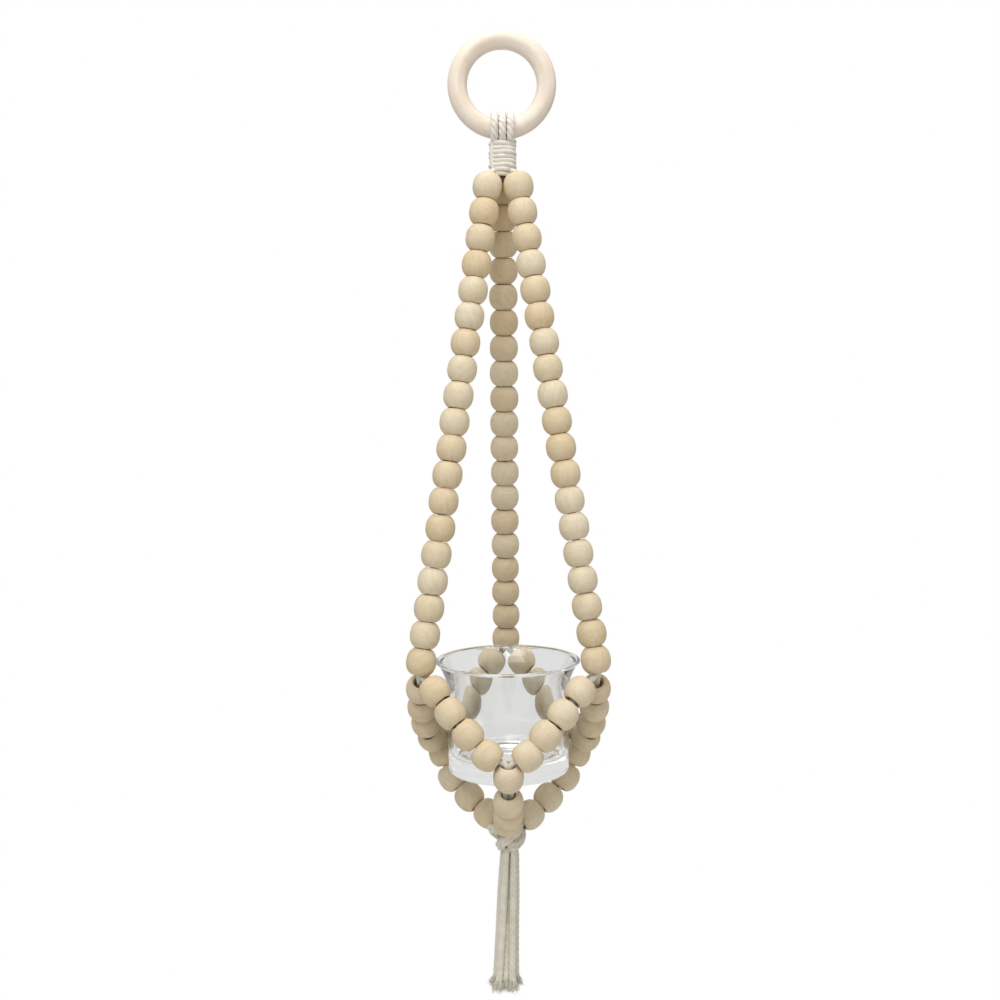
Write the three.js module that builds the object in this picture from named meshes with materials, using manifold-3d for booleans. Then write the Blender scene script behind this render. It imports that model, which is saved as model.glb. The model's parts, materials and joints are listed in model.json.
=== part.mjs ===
// A hanging planter. A wooden ring carries three cotton cords folded over it and bound by a
// wrapping cord. The six cord runs go down through three strings of wooden beads, part into a
// beaded cradle round a thick glass pot, and end in a knot and a tassel under it.
// Millimetres, +Z up. The origin is the top of the ring's eye, where the hook bears.

import * as THREE from "three";
import { mergeVertices } from "three/addons/utils/BufferGeometryUtils.js";
import Module from "manifold-3d";

const wasm = await Module();
wasm.setup();

// Ring
const ringHoopRadius = 30; // to the middle of the rod
const ringRodRadius = 6.5;
const ringRodSides = 12;
const ringHoopSides = 36;

// Cord, soft enough to be squeezed where two runs share a bore or the wrap binds all six
const cordDiameter = 5;
const cordSqueeze = 0.8; // the runs' diameter there, as a share of the free cord's
const cordSides = 8;
const cordGap = 0.3; // between cords that lie side by side or meet end to end
const cordPress = 0.1; // how far two runs in one bead press into each other
const cordWaist = 0.7; // depth of the valley between those two runs, in cord radii
const bundleGap = 0.6; // between the strings' cords inside the wrap
const foldClearance = 0.8; // from the ring's rod to the cord folded over it
const foldGap = 0.4; // between the folds along the rod
const foldSides = 16;

// Wrapping cord, a sleeve of close turns round the six runs
const wrapCordDiameter = 3.1;
const wrapTurns = 4;
const wrapClearance = 0.3;
const wrapSides = 16;
const bareCordUnderWrap = 5.4; // from the last turn to the first beads

// Beads
const beadDiameter = 20;
const boreClearance = 2; // what the bore leaves beside two runs of cord
const beadGap = 0.45; // between neighbours on a straight run
const beadSides = 10;
const beadArcSteps = 4;
const columnNeck = 1; // wall that joins the beads of one string

// Bead strings
const strandBeadCount = 19;
const strandTopClearance = 0.8; // between the first beads of two strings
const rimClearance = 6.7; // from the pot's rim to the last beads

// Cradle
const legBeadCount = 4;
const legBendAllowance = 0.7; // extra room between beads on the curve round the pot
const legEndClearance = 0.7; // between a leg's end beads and the string's foot or the junction
const legPairGap = 2.474; // between the first beads of one string's two legs
const legFall = 0.95; // under 1, a leg drops faster at first
const lowerTiltShape = [17, 37, 49, 57]; // from upright: the junction bead and three below
const lowerEndGap = 10.686; // between the last beads of the three lower runs
const seatAngle = 60; // degrees below level, where a lower bead meets the pot's corner
const seatClearance = 0.4;

// Knot and tassel
const knotRadius = 12.8;
const knotTopRadius = 6.5;
const knotNeckRadius = 6.5; // the rounded underside that the tassel swings about
const knotClearance = 3.7; // from the last lower beads to the knot's widest level
const knotRise = 8.3;
const knotTaper = 4.5;
const knotShoulder = [0.86, 0.4]; // shares of the knot's radius and rise
const knotSides = 16;
const tasselClearance = 0.5;
const tasselLength = 90.5;
const tasselCordGap = 0.3;
const tasselLean = 3.8; // the cut ends hang a little to one side
const tasselSpread = [2.5, 2.6, 2.2, 1, 1.5]; // outward lean of the outer cords' ends
const tasselForward = 3.6; // how far the middle cord's end comes forward

// Pot
const potHeight = 77;
const potRimRadius = 49.5;
const potBaseRadius = 41.5;
const potWall = 4.4;
const potLipWall = 3;
const potFloor = 11.5;
const potCorner = 3;
const potInnerCorner = 5;
const potFlareHeight = 22; // the wall opens out to the rim over this height
const potSides = 28;

// Heights and radii that follow
const cordRadius = cordDiameter / 2;
const runDiameter = cordDiameter * cordSqueeze;
const runRadius = runDiameter / 2;
const twinSpacing = runDiameter - cordPress; // between the middles of two runs in one bead
const foldSpacing = cordDiameter + foldGap;
const beadRadius = beadDiameter / 2;
const beadBore = 2 * runDiameter + boreClearance;
const beadBoreRadius = beadBore / 2;
const beadLength = 2 * Math.sqrt(beadRadius ** 2 - beadBoreRadius ** 2);
const beadPitch = beadLength + beadGap;

const ringCentreZ = ringRodRadius - ringHoopRadius;
const foldCentreZ = ringCentreZ - ringHoopRadius;
const foldRadius = ringRodRadius + foldClearance + cordRadius;

const bundleRadius = (runDiameter + bundleGap + twinSpacing / 2) / Math.sqrt(3);
const bundleReach = Math.hypot(bundleRadius, twinSpacing / 2) + runRadius;
const wrapInnerRadius = (bundleReach + wrapClearance) / Math.cos(Math.PI / wrapSides);
const wrapTopZ = foldCentreZ - foldRadius - cordRadius - cordGap;
const wrapBottomZ = wrapTopZ - wrapTurns * wrapCordDiameter;

const strandTopRadius = (beadDiameter + strandTopClearance) / Math.sqrt(3);
const strandFootRadius = potRimRadius + rimClearance + beadRadius;
const strandLength = (strandBeadCount - 1) * beadPitch;
const strandLean = Math.asin((strandFootRadius - strandTopRadius) / strandLength);
const strandTopZ = wrapBottomZ - bareCordUnderWrap - (beadLength / 2) * Math.cos(strandLean);
const strandFootZ = strandTopZ - strandLength * Math.cos(strandLean);

// A point in the upright plane of one string or one lower run: distance from the axis, height.
const inPlane = (radius, z) => new THREE.Vector3(radius, 0, z);
const tilted = (degrees) => {
  const angle = THREE.MathUtils.degToRad(degrees);
  return inPlane(-Math.sin(angle), -Math.cos(angle));
};

// Centre distance of two beads whose bores are turned by an angle to each other.
const bentPitch = (degrees) => {
  const half = THREE.MathUtils.degToRad(degrees) / 2;
  return beadLength * Math.cos(half) + beadBore * Math.sin(half) + beadGap;
};

// The junction bead and the lower beads, as steps down from the junction bead's centre.
const stepsDown = (tilts) => {
  const steps = [inPlane(0, 0)];
  for (let i = 1; i < tilts.length; i += 1) {
    const middle = tilted((tilts[i] + tilts[i - 1]) / 2);
    const pitch = bentPitch(tilts[i] - tilts[i - 1]);
    steps.push(steps[i - 1].clone().addScaledVector(middle, pitch));
  }
  return steps;
};

// The first lower bead bears on the pot's rounded bottom corner, which sets the cradle's radius.
const seatReach = potCorner + beadRadius + seatClearance;
const seat = THREE.MathUtils.degToRad(seatAngle);
const seatRadius = potBaseRadius - potCorner + seatReach * Math.cos(seat);

// The tilts keep their shape and lean in only until the last lower beads meet their gap.
const lowerEndRadius = (beadDiameter + lowerEndGap) / Math.sqrt(3);
const tiltsAt = (share) => lowerTiltShape.map((tilt) => tilt * share);
let [leastShare, mostShare] = [0.2, 1.6];
for (let i = 0; i < 40; i += 1) {
  const share = (leastShare + mostShare) / 2;
  const steps = stepsDown(tiltsAt(share));
  const endRadius = seatRadius - steps[1].x + steps[steps.length - 1].x;
  if (endRadius > lowerEndRadius) leastShare = share;
  else mostShare = share;
}
const lowerTilts = tiltsAt(leastShare);
const lowerSteps = stepsDown(lowerTilts);
const junctionRadius = seatRadius - lowerSteps[1].x;

// Each leg has a fixed length, so the junctions hang lower round a narrower pot.
const legPitch = beadPitch + legBendAllowance;
const legEndGap = beadDiameter + legEndClearance;
const legLength = (legBeadCount - 1) * legPitch + 2 * legEndGap;
const legTurn = Math.PI / 3;
const legAround = (legTurn * (strandFootRadius + junctionRadius)) / 2;
const legInward = strandFootRadius - junctionRadius;
const junctionZ = strandFootZ - Math.sqrt(legLength ** 2 - legAround ** 2 - legInward ** 2);

// Above 1, a leg leaves its string steeply and swings round later.
const firstShare = legEndGap / legLength;
const firstRadius = strandFootRadius - legInward * firstShare;
const firstTurn = Math.asin((beadRadius + legPairGap / 2) / firstRadius);
const legSwing = Math.log(firstTurn / legTurn) / Math.log(firstShare);

const lowerCentres = lowerSteps.map((step) => inPlane(junctionRadius, junctionZ).add(step));
const lastLower = lowerCentres[lowerCentres.length - 1];

const potBaseZ = lowerCentres[1].z + seatReach * Math.sin(seat) - potCorner;

const knotWidestZ = lastLower.z - beadRadius - knotClearance;
const knotNeckZ = knotWidestZ - knotTaper;
const tasselTopZ = knotNeckZ - knotNeckRadius - tasselClearance;
const tasselTopRadius = cordDiameter + tasselCordGap; // five cords round one

// Solids

const solidOf = (geometry) => {
  const bare = geometry.index ? geometry.toNonIndexed() : geometry.clone();
  bare.deleteAttribute("normal");
  bare.deleteAttribute("uv");
  const merged = mergeVertices(bare, 1e-4);
  return new wasm.Manifold(
    new wasm.Mesh({
      numProp: 3,
      vertProperties: merged.attributes.position.array,
      triVerts: new Uint32Array(merged.index.array),
    }),
  );
};

const geometryOf = (solid) => {
  const { numProp, numVert, vertProperties, triVerts } = solid.getMesh();
  const positions = new Float32Array(numVert * 3);
  for (let i = 0; i < numVert; i += 1) {
    positions.set(vertProperties.subarray(i * numProp, i * numProp + 3), i * 3);
  }
  const geometry = new THREE.BufferGeometry();
  geometry.setAttribute("position", new THREE.BufferAttribute(positions, 3));
  geometry.setIndex(new THREE.BufferAttribute(triVerts, 1));
  const faceted = geometry.toNonIndexed();
  faceted.computeVertexNormals();
  return faceted;
};

// A lathe about Z from [radius, height] points that run upwards on the outside.
const turned = (points, sides) => {
  const outline = points.map(([radius, height]) => new THREE.Vector2(radius, height));
  return new THREE.LatheGeometry(outline, sides).rotateX(Math.PI / 2);
};

// Points on an arc, from one angle to another, in degrees from the +radius direction.
const arc = (radius, height, size, from, to, steps) =>
  Array.from({ length: steps + 1 }, (_, i) => {
    const angle = THREE.MathUtils.degToRad(from + ((to - from) * i) / steps);
    return [radius + size * Math.cos(angle), height + size * Math.sin(angle)];
  });

const roundSection = (radius) => {
  const points = Array.from({ length: cordSides }, (_, i) => {
    const angle = ((i + 0.5) * 2 * Math.PI) / cordSides;
    return new THREE.Vector2(radius * Math.cos(angle), radius * Math.sin(angle));
  });
  return new THREE.Shape(points);
};

// Two cords pressed side by side along the section's first axis, with a waist between them.
const twinSection = () => {
  const half = twinSpacing / 2;
  const waist = runRadius * cordWaist;
  const corners = arc(half, 0, runRadius, -50, 50, 2);
  const side = [[0, -waist], ...corners];
  const outline = [...side, ...side.map(([x, y]) => [-x, -y])];
  return new THREE.Shape(outline.map(([x, y]) => new THREE.Vector2(x, y)));
};

const alongPath = (section, path, steps) =>
  new THREE.ExtrudeGeometry(section, { steps, extrudePath: path });

const group = new THREE.Group();

const finish = (name, colour, roughness) =>
  new THREE.MeshStandardMaterial({ name, color: colour, roughness, metalness: 0 });

const addMesh = (parent, name, geometry, material) => {
  const mesh = new THREE.Mesh(geometry, material);
  mesh.name = name;
  parent.add(mesh);
  return mesh;
};

const cotton = () => finish("cotton", 0xd8d4c6, 0.95);
const beech = () => finish("bare wood", 0xe4d3b0, 0.7);

// Ring and the three folds of cord over it

const makeRing = () => {
  const hoop = new THREE.TorusGeometry(ringHoopRadius, ringRodRadius, ringRodSides, ringHoopSides);
  const ring = addMesh(group, "ring", hoop, finish("ring wood", 0xefe0cb, 0.6));
  ring.rotation.x = Math.PI / 2;
  ring.position.z = ringCentreZ;
};

const makeFolds = () => {
  ["left", "middle", "right"].forEach((side, i) => {
    const turn = new THREE.TorusGeometry(foldRadius, cordRadius, cordSides, foldSides);
    const fold = addMesh(group, `cord_fold_${side}`, turn, cotton());
    fold.rotation.y = Math.PI / 2;
    fold.position.set((i - 1) * foldSpacing, 0, foldCentreZ);
  });
};

// The wrapping cord's turns as a ribbed sleeve

const makeWrap = () => {
  const ribRadius = wrapCordDiameter / 2;
  const profile = [];
  for (let turn = wrapTurns - 1; turn >= 0; turn -= 1) {
    const height = wrapTopZ - (turn + 0.5) * wrapCordDiameter;
    profile.push(...arc(wrapInnerRadius + ribRadius, height, ribRadius, -70, 70, 2));
  }
  const inner = [
    [wrapInnerRadius, wrapTopZ],
    [wrapInnerRadius, wrapBottomZ],
  ];
  const outline = [[wrapInnerRadius + ribRadius, wrapBottomZ], ...profile];
  outline.push([wrapInnerRadius + ribRadius, wrapTopZ], ...inner, outline[0]);
  addMesh(group, "gathering_wrap", turned(outline, wrapSides), cotton());
};

// One bead round Z, and a whole string of them hanging down from its first bead's centre

const boreEdge = THREE.MathUtils.radToDeg(Math.acos(beadBoreRadius / beadRadius));

const beadProfile = (height) => arc(0, height, beadRadius, -boreEdge, boreEdge, beadArcSteps);

const beadGeometry = () => {
  const outline = beadProfile(0);
  return turned([...outline, outline[0]], beadSides);
};

const columnGeometry = () => {
  const neckRadius = beadBoreRadius + columnNeck;
  const outline = [];
  for (let i = strandBeadCount - 1; i >= 0; i -= 1) {
    const bead = beadProfile(-i * beadPitch);
    if (i < strandBeadCount - 1) bead[0][0] = neckRadius;
    if (i > 0) bead[bead.length - 1][0] = neckRadius;
    outline.push(...bead);
  }
  return turned([...outline, outline[0]], beadSides);
};

// Turns a bead's bore from Z onto a direction.
const aim = (mesh, centre, direction) => {
  mesh.position.copy(centre);
  mesh.quaternion.setFromUnitVectors(new THREE.Vector3(0, 0, 1), direction);
};

// The middle line of one leg, from a string's foot (azimuth 0) towards a junction (azimuth 60
// degrees): azimuth, radius and height each follow a power of the way along.
const legPoint = (t, side) => {
  const azimuth = side * legTurn * t ** legSwing;
  const radius = strandFootRadius - legInward * t;
  const z = strandFootZ + (junctionZ - strandFootZ) * t ** legFall;
  return new THREE.Vector3(radius * Math.cos(azimuth), radius * Math.sin(azimuth), z);
};

class LegLine extends THREE.Curve {
  constructor(side) {
    super();
    this.side = side;
  }

  getPoint(t, target = new THREE.Vector3()) {
    return target.copy(legPoint(t, this.side));
  }
}

const legBeadCentres = (side) => {
  const line = new LegLine(side);
  return Array.from({ length: legBeadCount }, (_, i) =>
    line.getPointAt((legEndGap + i * legPitch) / legLength),
  );
};

// The cord of one leg: out of the string's last bead, through the leg beads and over into the
// junction bead, whose mouth it shares with the cord from the next string.
const legCord = (side) => {
  const strandDirection = inPlane(Math.sin(strandLean), -Math.cos(strandLean));
  const foot = inPlane(strandFootRadius, strandFootZ);
  foot.y = (side * runRadius) / 2;
  const footMouth = foot.clone().addScaledVector(strandDirection, beadLength / 2);
  const mouthReach = (beadLength + cordGap) / 2;
  const junctionPoint = (reach) => {
    const point = inPlane(junctionRadius, junctionZ).addScaledVector(tilted(lowerTilts[0]), -reach);
    point.y = (-side * (runDiameter + cordGap)) / 2;
    return point.applyAxisAngle(new THREE.Vector3(0, 0, 1), side * legTurn);
  };
  return new THREE.CatmullRomCurve3([
    foot,
    footMouth,
    ...legBeadCentres(side),
    junctionPoint(mouthReach + runRadius),
    junctionPoint(mouthReach),
  ]);
};

// A string's two runs: straight through the beads, bending in under the wrap and up through it.
const strandRun = () => {
  const strandDirection = inPlane(Math.sin(strandLean), -Math.cos(strandLean));
  const first = inPlane(strandTopRadius, strandTopZ);
  const below = first.clone().addScaledVector(strandDirection, beadPitch);
  const mouth = first.clone().addScaledVector(strandDirection, -beadLength / 2);
  mouth.x -= runRadius / 3;
  const foot = inPlane(strandFootRadius, strandFootZ);
  const bend = new THREE.CatmullRomCurve3([
    inPlane(bundleRadius, wrapTopZ),
    inPlane(bundleRadius, (wrapTopZ + wrapBottomZ) / 2),
    inPlane(bundleRadius, wrapBottomZ - runRadius / 4),
    mouth,
    first,
    below,
  ]);
  const straight = new THREE.LineCurve3(first.clone().lerp(below, 0.9), foot);
  return solidOf(alongPath(twinSection(), bend, 12)).add(
    solidOf(alongPath(twinSection(), straight, 1)),
  );
};

const strandCordGeometry = () => {
  let cord = strandRun();
  for (const side of [1, -1]) {
    cord = cord.add(solidOf(alongPath(roundSection(runRadius), legCord(side), 14)));
  }
  return geometryOf(cord);
};

// Knot: a bulge that takes in the six runs, over the rounded neck that the tassel swings about

const knotProfile = (grow) => [
  [0, knotNeckZ - knotNeckRadius - grow],
  ...arc(0, knotNeckZ, knotNeckRadius + grow, -68, -10, 3),
  [knotRadius + grow, knotWidestZ],
  [knotRadius * knotShoulder[0] + grow, knotWidestZ + knotRise * knotShoulder[1]],
  [knotTopRadius + grow, knotWidestZ + knotRise + grow],
  [0, knotWidestZ + knotRise + grow],
];

const makeKnot = () => {
  addMesh(group, "gather_knot", turned(knotProfile(0), knotSides), cotton());
};

// Two runs side by side, through a junction bead and the lower beads to the knot
const lowerCordGeometry = () => {
  const mouth = lowerCentres[0].clone();
  mouth.addScaledVector(tilted(lowerTilts[0]), (cordGap - beadLength) / 2);
  const lastMouth = lastLower.clone();
  lastMouth.addScaledVector(tilted(lowerTilts[lowerTilts.length - 1]), beadLength / 2);
  const knotTop = inPlane(knotTopRadius / 2, knotWidestZ + knotRise / 2);
  const path = new THREE.CatmullRomCurve3([mouth, ...lowerCentres, lastMouth, knotTop]);
  const run = solidOf(alongPath(twinSection(), path, 10));
  const knot = solidOf(turned(knotProfile(cordGap), knotSides));
  return geometryOf(run.subtract(knot));
};

// The strings, legs and lower runs, three times round the axis. Each third is drawn with its
// string at azimuth 0 and its junction at azimuth 60 degrees.

const thirds = [
  { azimuth: 90, strand: "back", legs: ["back_left", "back_right"], junction: "left" },
  { azimuth: 210, strand: "left", legs: ["left_front", "left_side"], junction: "front" },
  { azimuth: 330, strand: "right", legs: ["right_side", "right_front"], junction: "right" },
];

const makeLegBeads = (parent, legs) => {
  [1, -1].forEach((side, leg) => {
    const cord = legCord(side);
    legBeadCentres(side).forEach((centre, i) => {
      const name = `leg_bead_${legs[leg]}_${i + 1}`;
      const bead = addMesh(parent, name, beadGeometry(), beech());
      const knots = cord.points.length - 1;
      aim(bead, centre, cord.getTangent((i + 2) / knots));
    });
  });
};

const makeLowerRun = (parent, junction) => {
  const run = new THREE.Group();
  run.rotation.z = legTurn;
  parent.add(run);
  lowerCentres.forEach((centre, i) => {
    const name = i === 0 ? `junction_bead_${junction}` : `lower_bead_${junction}_${i}`;
    const bead = addMesh(run, name, beadGeometry(), beech());
    aim(bead, centre, tilted(lowerTilts[i]));
  });
  addMesh(run, `lower_cord_${junction}`, lowerCordGeometry(), cotton());
};

const makeThirds = () => {
  for (const { azimuth, strand, legs, junction } of thirds) {
    const third = new THREE.Group();
    third.rotation.z = THREE.MathUtils.degToRad(azimuth);
    group.add(third);
    const column = addMesh(third, `strand_beads_${strand}`, columnGeometry(), beech());
    column.position.copy(inPlane(strandTopRadius, strandTopZ));
    column.rotation.y = -strandLean;
    addMesh(third, `strand_cord_${strand}`, strandCordGeometry(), cotton());
    makeLegBeads(third, legs);
    makeLowerRun(third, junction);
  }
};

// Tassel: the six cut ends, five round one, hang below the knot and splay a little

const tasselPath = (i) => {
  const outer = i < tasselSpread.length;
  const around = ((i - 0.5) * 2 * Math.PI) / tasselSpread.length - Math.PI / 2;
  const at = (share) => {
    const radius = outer ? tasselTopRadius + tasselSpread[i] * share ** 2 : 0;
    const forward = outer ? 0 : tasselForward * share ** 2;
    const x = radius * Math.cos(around) - tasselLean * share;
    const y = radius * Math.sin(around) - forward;
    return new THREE.Vector3(x, y, tasselTopZ - tasselLength * share);
  };
  return new THREE.CatmullRomCurve3([at(0), at(0.33), at(0.67), at(1)]);
};

const makeTassel = () => {
  for (let i = 0; i <= tasselSpread.length; i += 1) {
    const cord = alongPath(roundSection(cordRadius), tasselPath(i), 8);
    addMesh(group, `tassel_cord_${i + 1}`, cord, cotton());
  }
};

// Pot: a straight thick-walled glass whose wall opens out to a rounded lip

const makePot = () => {
  const top = potHeight;
  const flareFoot = potHeight - potFlareHeight;
  const outerAt = (share) => potBaseRadius + (potRimRadius - potBaseRadius) * share ** 2;
  const wallAt = (share) => potWall + (potLipWall - potWall) * share;
  const flare = [0, 0.3, 0.55, 0.78, 0.94];
  const outer = flare.map((share) => [outerAt(share), flareFoot + potFlareHeight * share]);
  const inner = outer.map(([radius, z], i) => [radius - wallAt(flare[i]), z]).reverse();
  const lipRadius = potLipWall / 2;
  const innerRadius = potBaseRadius - potWall;
  const outline = [
    [0, 0],
    ...arc(potBaseRadius - potCorner, potCorner, potCorner, -90, 0, 3),
    ...outer,
    ...arc(potRimRadius - lipRadius, top - lipRadius, lipRadius, 0, 180, 4),
    ...inner,
    ...arc(innerRadius - potInnerCorner, potFloor + potInnerCorner, potInnerCorner, 0, -90, 3),
    [0, potFloor],
  ];
  const pot = addMesh(group, "glass_pot", turned(outline, potSides), finish("glass", 0xdde3e0, 0.05));
  pot.position.z = potBaseZ;
};

makeRing();
makeFolds();
makeWrap();
makeThirds();
makeKnot();
makeTassel();
makePot();

export default group;
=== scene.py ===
import json
import math

import bpy
import numpy as np
from mathutils import Matrix, Vector


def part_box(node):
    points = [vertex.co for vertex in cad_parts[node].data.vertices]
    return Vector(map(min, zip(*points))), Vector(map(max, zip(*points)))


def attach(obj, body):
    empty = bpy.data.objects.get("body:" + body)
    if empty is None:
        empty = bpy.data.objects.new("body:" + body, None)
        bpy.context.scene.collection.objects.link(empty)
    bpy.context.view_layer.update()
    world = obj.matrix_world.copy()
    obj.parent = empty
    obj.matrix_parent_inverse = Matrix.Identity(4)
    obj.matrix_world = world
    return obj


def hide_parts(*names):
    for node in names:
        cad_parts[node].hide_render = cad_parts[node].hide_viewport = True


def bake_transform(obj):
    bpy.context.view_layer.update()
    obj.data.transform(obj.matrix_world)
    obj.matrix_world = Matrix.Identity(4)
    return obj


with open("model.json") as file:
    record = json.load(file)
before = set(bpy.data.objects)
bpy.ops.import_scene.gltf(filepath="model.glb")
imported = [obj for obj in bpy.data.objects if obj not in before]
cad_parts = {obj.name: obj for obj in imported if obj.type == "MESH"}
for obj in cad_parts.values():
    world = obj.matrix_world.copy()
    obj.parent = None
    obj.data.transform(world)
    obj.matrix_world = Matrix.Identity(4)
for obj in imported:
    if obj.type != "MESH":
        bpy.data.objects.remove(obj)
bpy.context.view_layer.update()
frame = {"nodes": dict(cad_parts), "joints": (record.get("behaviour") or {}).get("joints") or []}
mm = 0.001


# Camera, level with the middle of the strings and a little turned and tipped; place in mm, turns
# in degrees, lens in mm on a 36 mm sensor
camera = {"place": (-14.65, -858.1, -268.1), "pitch": 2.33, "yaw": 0.70, "roll": -0.60, "lens": 45.37}


# The turn is the yaw about the upright, then a level look tipped down by the pitch, then the roll.
def makeCamera():
    data = bpy.data.cameras.new("camera")
    data.lens, data.sensor_width = camera["lens"], 36
    data.clip_start, data.clip_end = 0.01, 50
    eye = bpy.data.objects.new("camera", data)
    bpy.context.collection.objects.link(eye)
    yaw, pitch, roll = (math.radians(camera[k]) for k in ("yaw", "pitch", "roll"))
    look = Matrix.Rotation(math.pi / 2 - pitch, 4, "X") @ Matrix.Rotation(roll, 4, "Z")
    place = Matrix.Translation(Vector(camera["place"]) * mm)
    eye.matrix_world = place @ Matrix.Rotation(-yaw, 4, "Z") @ look
    bpy.context.scene.camera = eye


makeCamera()
print("camera set")


# Materials. Colours are sRGB hex turned linear: a straight foot for the darks, a power of 2.4 above.
def linear(hexColour):
    channels = [int(hexColour[i : i + 2], 16) / 255 for i in (1, 3, 5)]
    return [c / 12.92 if c <= 0.04045 else ((c + 0.055) / 1.055) ** 2.4 for c in channels] + [1]


# Adds a node, sets its attributes and unlinked inputs, and links the rest from (node, output).
def addNode(tree, kind, settings=None, **inputs):
    node = tree.nodes.new(kind)
    for key, value in (settings or {}).items():
        setattr(node, key, value)
    for key, value in inputs.items():
        socket = node.inputs[int(key[1:]) if key[0] == "i" and key[1:].isdigit() else key.replace("_", " ")]
        if isinstance(value, tuple) and hasattr(value[0], "outputs"):
            tree.links.new(value[0].outputs[value[1]], socket)
        else:
            socket.default_value = value
    return node


# A colour ramp read at a (node, output) value, with stops of (place, sRGB hex or a share of white).
def addRamp(tree, value, stops):
    node = addNode(tree, "ShaderNodeValToRGB", i0=value)
    ramp = node.color_ramp
    while len(ramp.elements) < len(stops):
        ramp.elements.new(0.5)
    for element, (place, colour) in zip(ramp.elements, stops):
        element.position = place
        element.color = linear(colour) if isinstance(colour, str) else (colour, colour, colour, 1)
    return node, "Color"


# One colour times another: the whole product at an amount of 1, the first colour alone at 0.
def addProduct(tree, amount, colour, shade):
    kind = {"data_type": "RGBA", "blend_type": "MULTIPLY"}
    return addNode(tree, "ShaderNodeMix", kind, i0=amount, i6=colour, i7=shade), 2


# Noise at a scale in patterns per unit of its coordinates, and its (node, output) value.
def addNoise(tree, coordinates, scale, detail, **more):
    return addNode(tree, "ShaderNodeTexNoise", Vector=coordinates, Scale=scale, Detail=detail, **more), "Fac"


# An empty material and its node tree.
def newMaterial(name):
    material = bpy.data.materials.new(name)
    material.use_nodes = True
    material.node_tree.nodes.clear()
    return material, material.node_tree


# Turned hardwood, sanded and left bare: satin, with faint straight grain and short darker flecks.
# The grain follows the "block" attribute, the place of each point in the piece's own block of wood,
# drawn out along the block's third direction; "tone" makes one piece paler or darker than the next.
wood = {"grainRun": 0.06, "poreAcross": 2400, "poreAlong": 420, "drift": 90.0}


def turnedWood(name, pale, mid, dark, grainSpacing, roughness):
    material, tree = newMaterial(name)
    block = addNode(tree, "ShaderNodeAttribute", {"attribute_name": "block"}), "Vector"
    tone = addNode(tree, "ShaderNodeAttribute", {"attribute_name": "tone"}), "Fac"
    across = 1 / (grainSpacing * mm)
    rings = addNode(tree, "ShaderNodeMapping", Vector=block, Scale=(across, across, wood["grainRun"] * across))
    grain = addNoise(tree, (rings, "Vector"), 1.0, 3.0, Roughness=0.55, Distortion=0.4)
    # pores drawn about 0.4 mm wide, coarser than real ones so that they show
    poreScale = (wood["poreAcross"], wood["poreAcross"], wood["poreAlong"])
    flecks = addNode(tree, "ShaderNodeMapping", Vector=block, Scale=poreScale)
    pores = addNoise(tree, (flecks, "Vector"), 1.0, 2.0)
    cloudy = addNoise(tree, block, wood["drift"], 2.0)  # broad colour drift over about 10 mm
    grained = addRamp(tree, grain, [(0.30, dark), (0.48, mid), (0.62, pale)])
    drifted = addProduct(tree, 0.35, grained, addRamp(tree, cloudy, [(0.35, "#f3eadb"), (0.65, "#ffffff")]))
    toned = addProduct(tree, 1.0, drifted, addRamp(tree, tone, [(0.0, "#f7efe2"), (1.0, "#ffffff")]))
    pored = addProduct(tree, 0.5, toned, addRamp(tree, pores, [(0.30, 0.86), (0.42, 1.0)]))
    # the pale early wood is a little more polished than the dark
    rough = addNode(
        tree, "ShaderNodeMapRange", i0=grain, i1=0.3, i2=0.7, i3=roughness + 0.08, i4=roughness - 0.05
    )
    relief = addNode(tree, "ShaderNodeMath", {"operation": "ADD"}, i0=grain, i1=pores)
    bump = addNode(tree, "ShaderNodeBump", Strength=0.12, Distance=0.0002, Height=(relief, 0))
    shader = addNode(
        tree, "ShaderNodeBsdfPrincipled", Base_Color=pored, Roughness=(rough, 0), IOR=1.45,
        Normal=(bump, "Normal"),
    )
    addNode(tree, "ShaderNodeOutputMaterial", Surface=(shader, "BSDF"))
    return material


# Spun cotton, twisted soft: matt and fuzzy, fine fibres running along each strand, with painted shade
# in the valleys between strands, deeper where the "valley" attribute is higher.
# The UV map runs along the cord in u and round it in v, both in cord diameters.
spun = {"fibres": (1.4, 17.0, 1.0), "fuzz": 2600.0, "patches": 180.0, "sheen": 0.25, "relief": 0.55}


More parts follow.
